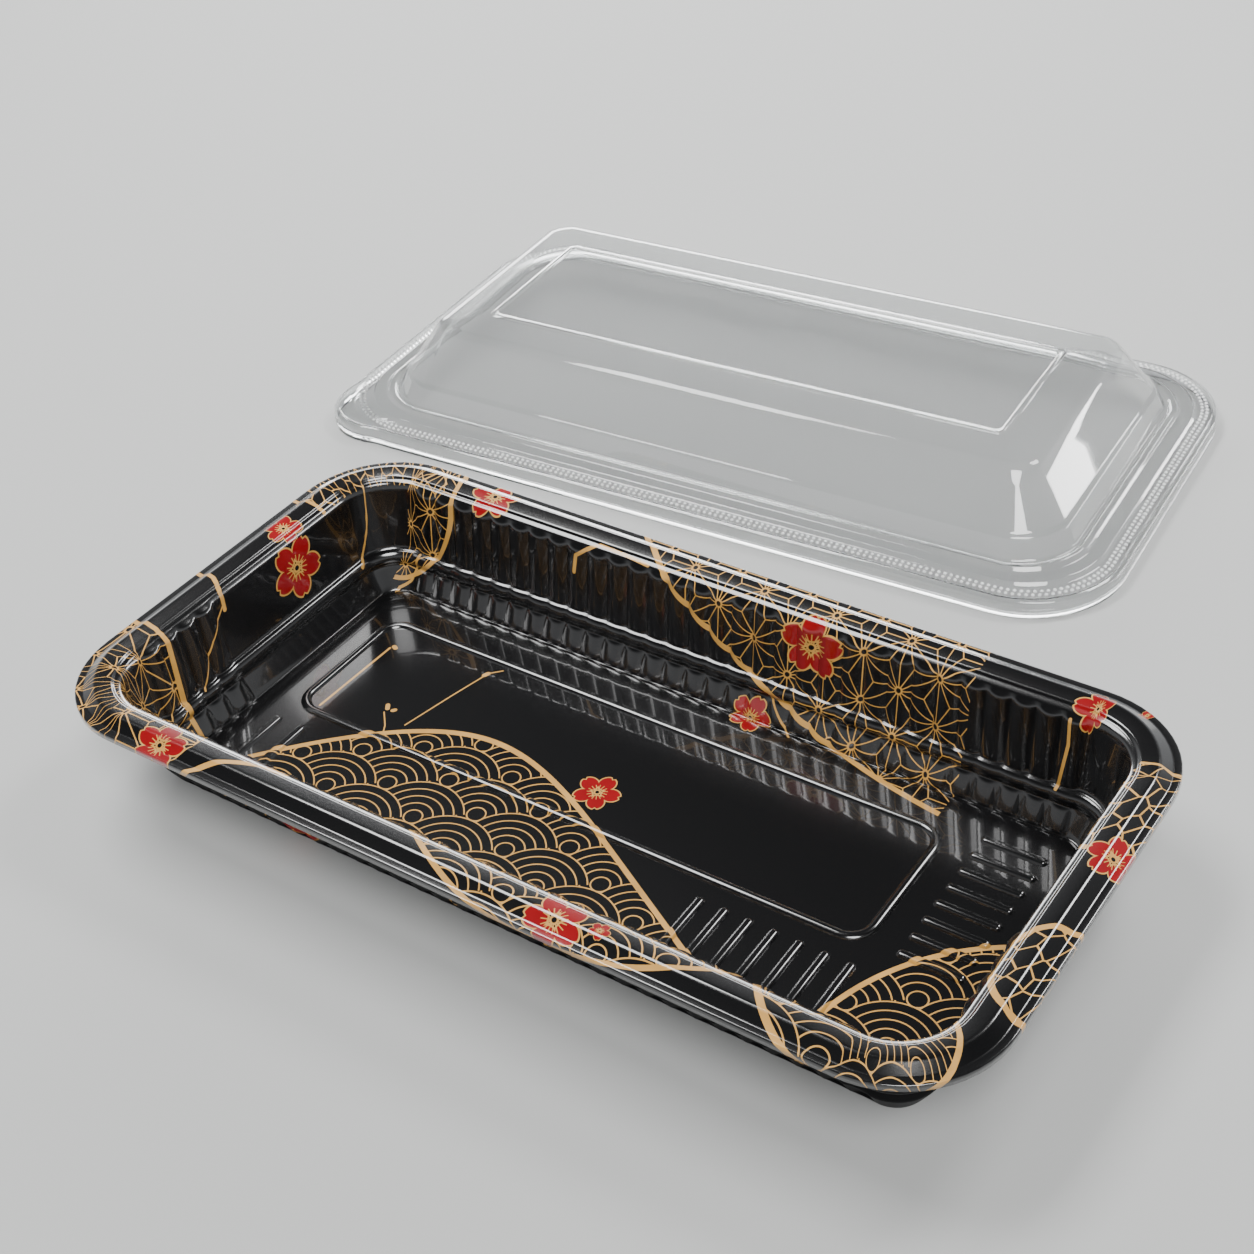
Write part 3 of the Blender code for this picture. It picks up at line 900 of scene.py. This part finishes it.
def studio_world(scene):
    """A pale band at the horizon and a dim ceiling, as in a room with a low backdrop."""
    world = bpy.data.worlds.new("studio")
    world.use_nodes = True
    tree = world.node_tree
    rise = add(tree, "SeparateXYZ", add(tree, "TexCoord").outputs["Generated"]).outputs[2]
    share = add(tree, "MapRange", rise, 0.25, 0.68, 1.0, 0.0, interpolation_type="SMOOTHSTEP")
    shade = add(tree, "Mix", share, linear("#2E2F30"), linear("#D8DADC"), data_type="RGBA")
    feed(tree, tree.nodes["Background"].inputs["Color"], shade)
    scene.world = world


def place_lamp(scene, lamp, place, aim):
    """Puts a lamp in the scene, turned towards a point and out of the camera's sight."""
    obj = bpy.data.objects.new(lamp.name, lamp)
    obj.location = place
    obj.visible_camera = False
    obj.rotation_mode = "QUATERNION"
    obj.rotation_quaternion = (Vector(aim) - Vector(place)).to_track_quat("-Z", "Y")
    scene.collection.objects.link(obj)


def studio_lamps(scene):
    """Softboxes, each placed so that the tray's edges catch it and its flat floor doesn't."""
    for name, place, size, energy in (
        ("left_softbox", (-0.62, 0.14, 1.2), (0.75, 0.42), 16.0),
        ("back_softbox", (0.27, 0.88, 1.0), (0.4, 0.3), 8.0),
        ("low_strip", (-0.86, 1.23, 0.38), (1.05, 0.28), 12.0),
        ("right_strip", (0.75, 0.95, 0.2), (0.75, 0.09), 5.0),
    ):
        lamp = bpy.data.lights.new(name, "AREA")
        lamp.shape = "RECTANGLE"
        lamp.size, lamp.size_y = size
        lamp.energy = energy
        place_lamp(scene, lamp, place, (0.0, 0.05, 0.0))

    # A broad soft lamp far off at the near right keeps the floor even
    lamp = bpy.data.lights.new("far_softbox", "SUN")
    lamp.energy = 3.6
    lamp.angle = math.radians(30.0)
    place_lamp(scene, lamp, (0.0, 0.0, 0.0), (-0.40, 0.45, -0.80))


def photo_camera(scene, settings):
    """The camera that was fitted to the photograph, with its small roll."""
    camera = bpy.data.cameras.new("photo_camera")
    camera.lens = settings.lens
    camera.sensor_width = 36.0
    place = Vector((239.4, -302.2, 358.0)) * MM
    target = Vector((-39.2, 65.5, 0.0)) * MM
    aim = (target - place).to_track_quat("-Z", "Y").to_matrix()
    roll = Matrix.Rotation(math.radians(-4.96), 3, "Z")
    obj = bpy.data.objects.new("photo_camera", camera)
    obj.location = place
    obj.rotation_mode = "QUATERNION"
    obj.rotation_quaternion = (aim @ roll).to_quaternion()
    scene.collection.objects.link(obj)
    scene.camera = obj


class SUSHIBOX_OT_tray(bpy.types.Operator):
    """Makes the printed tray in place of the frame's plain one"""

    bl_idname = "sushibox.tray"
    bl_label = "Tray"

    def execute(self, context):
        settings = context.scene.sushi_tray
        colours = context.scene.sushi_print
        bm = build_tray_mesh(settings)
        materials = [
            printed_styrene("printed_polystyrene_" + side, region, colours)
            for side, region in REGIONS.items()]
        materials.append(printed_styrene("polystyrene_underside", UNDERSIDE, colours, film=False))
        tray = to_object(bm, "tray_sheet", materials)
        wall = tray.modifiers.new("sheet", "SOLIDIFY")
        wall.thickness = settings.sheet
        wall.offset = -1.0
        wall.use_even_offset = True
        wall.material_offset = len(REGIONS)
        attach(tray, "root")
        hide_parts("tray")
        return {"FINISHED"}


class SUSHIBOX_OT_lid(bpy.types.Operator):
    """Makes the clear lid in place of the frame's plain one"""

    bl_idname = "sushibox.lid"
    bl_label = "Lid"

    def execute(self, context):
        settings = context.scene.sushi_lid
        half, corner = lid_half(context.scene)
        bm = build_lid_mesh(settings, half, corner)
        lid = to_object(bm, "lid_sheet", [clear_pet("clear_pet_sheet", 0.03, 1.0)])
        wall = lid.modifiers.new("sheet", "SOLIDIFY")
        wall.thickness = settings.sheet
        wall.offset = -1.0
        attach(lid, "root")
        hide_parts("lid")
        return {"FINISHED"}


class SUSHIBOX_OT_grip(bpy.types.Operator):
    """Makes the rows of small embossed dots on the lid's rim"""

    bl_idname = "sushibox.grip"
    bl_label = "Lid grip"

    def execute(self, context):
        settings = context.scene.sushi_lid
        half, corner = lid_half(context.scene)
        # One dot is made and then added once for each place, which is quick for hundreds of them
        bm = bmesh.new()
        bmesh.ops.create_uvsphere(bm, u_segments=8, v_segments=4, radius=GRIP_DOT_RADIUS)
        bmesh.ops.scale(bm, vec=(1.0, 1.0, 0.8), verts=bm.verts)
        dot = bpy.data.meshes.new("lid_dot")
        bm.to_mesh(dot)
        bm.clear()
        here = Vector((0.0, 0.0, 0.0))
        for inset, height in ((inset * MM, height * MM) for inset, height in GRIP_ROWS):
            row_half = half - Vector((inset, inset))
            for place in even_places(row_half, corner - inset, settings.grip_pitch):
                there = Vector((place.x, place.y, height))
                dot.transform(Matrix.Translation(there - here))
                bm.from_mesh(dot)
                here = there
        bpy.data.meshes.remove(dot)
        bmesh.ops.transform(bm, matrix=lid_place(settings), verts=bm.verts)
        grip = to_object(bm, "lid_grip", [clear_pet("embossed_pet_sheet", 0.2, 0.3)])
        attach(grip, "root")
        return {"FINISHED"}


class SUSHIBOX_OT_stage(bpy.types.Operator):
    """Makes the floor, the lights and the camera"""

    bl_idname = "sushibox.stage"
    bl_label = "Stage"

    def execute(self, context):
        settings = context.scene.sushi_stage
        studio_floor(settings)
        studio_world(context.scene)
        studio_lamps(context.scene)
        photo_camera(context.scene, settings)
        return {"FINISHED"}


class SUSHIBOX_PT_panel(bpy.types.Panel):
    """Lists the box's pieces and their settings"""

    bl_idname = "SUSHIBOX_PT_panel"
    bl_label = "Sushi box"
    bl_space_type = "VIEW_3D"
    bl_region_type = "UI"
    bl_category = "Sushi box"

    def draw(self, context):
        for operator in OPERATORS:
            self.layout.operator(operator.bl_idname)
        for name, group in SETTINGS.items():
            column = self.layout.column()
            for setting in group.__annotations__:
                column.prop(getattr(context.scene, name), setting)


OPERATORS = (SUSHIBOX_OT_tray, SUSHIBOX_OT_lid, SUSHIBOX_OT_grip, SUSHIBOX_OT_stage)
SETTINGS = {
    "sushi_tray": SushiTraySettings,
    "sushi_print": SushiPrintSettings,
    "sushi_lid": SushiLidSettings,
    "sushi_stage": SushiStageSettings,
}


def register():
    """Adds the settings, the operators and the panel."""
    for name, group in SETTINGS.items():
        bpy.utils.register_class(group)
        setattr(bpy.types.Scene, name, bpy.props.PointerProperty(type=group))
    for kind in (*OPERATORS, SUSHIBOX_PT_panel):
        bpy.utils.register_class(kind)


def unregister():
    """Takes them out again."""
    for kind in reversed((*OPERATORS, SUSHIBOX_PT_panel)):
        bpy.utils.unregister_class(kind)
    for name, group in reversed(SETTINGS.items()):
        delattr(bpy.types.Scene, name)
        bpy.utils.unregister_class(group)


def main():
    """Makes every piece and the studio."""
    register()
    bpy.ops.sushibox.tray()
    bpy.ops.sushibox.lid()
    bpy.ops.sushibox.grip()
    bpy.ops.sushibox.stage()
    bpy.context.view_layer.update()


if __name__ == "__main__":
    main()
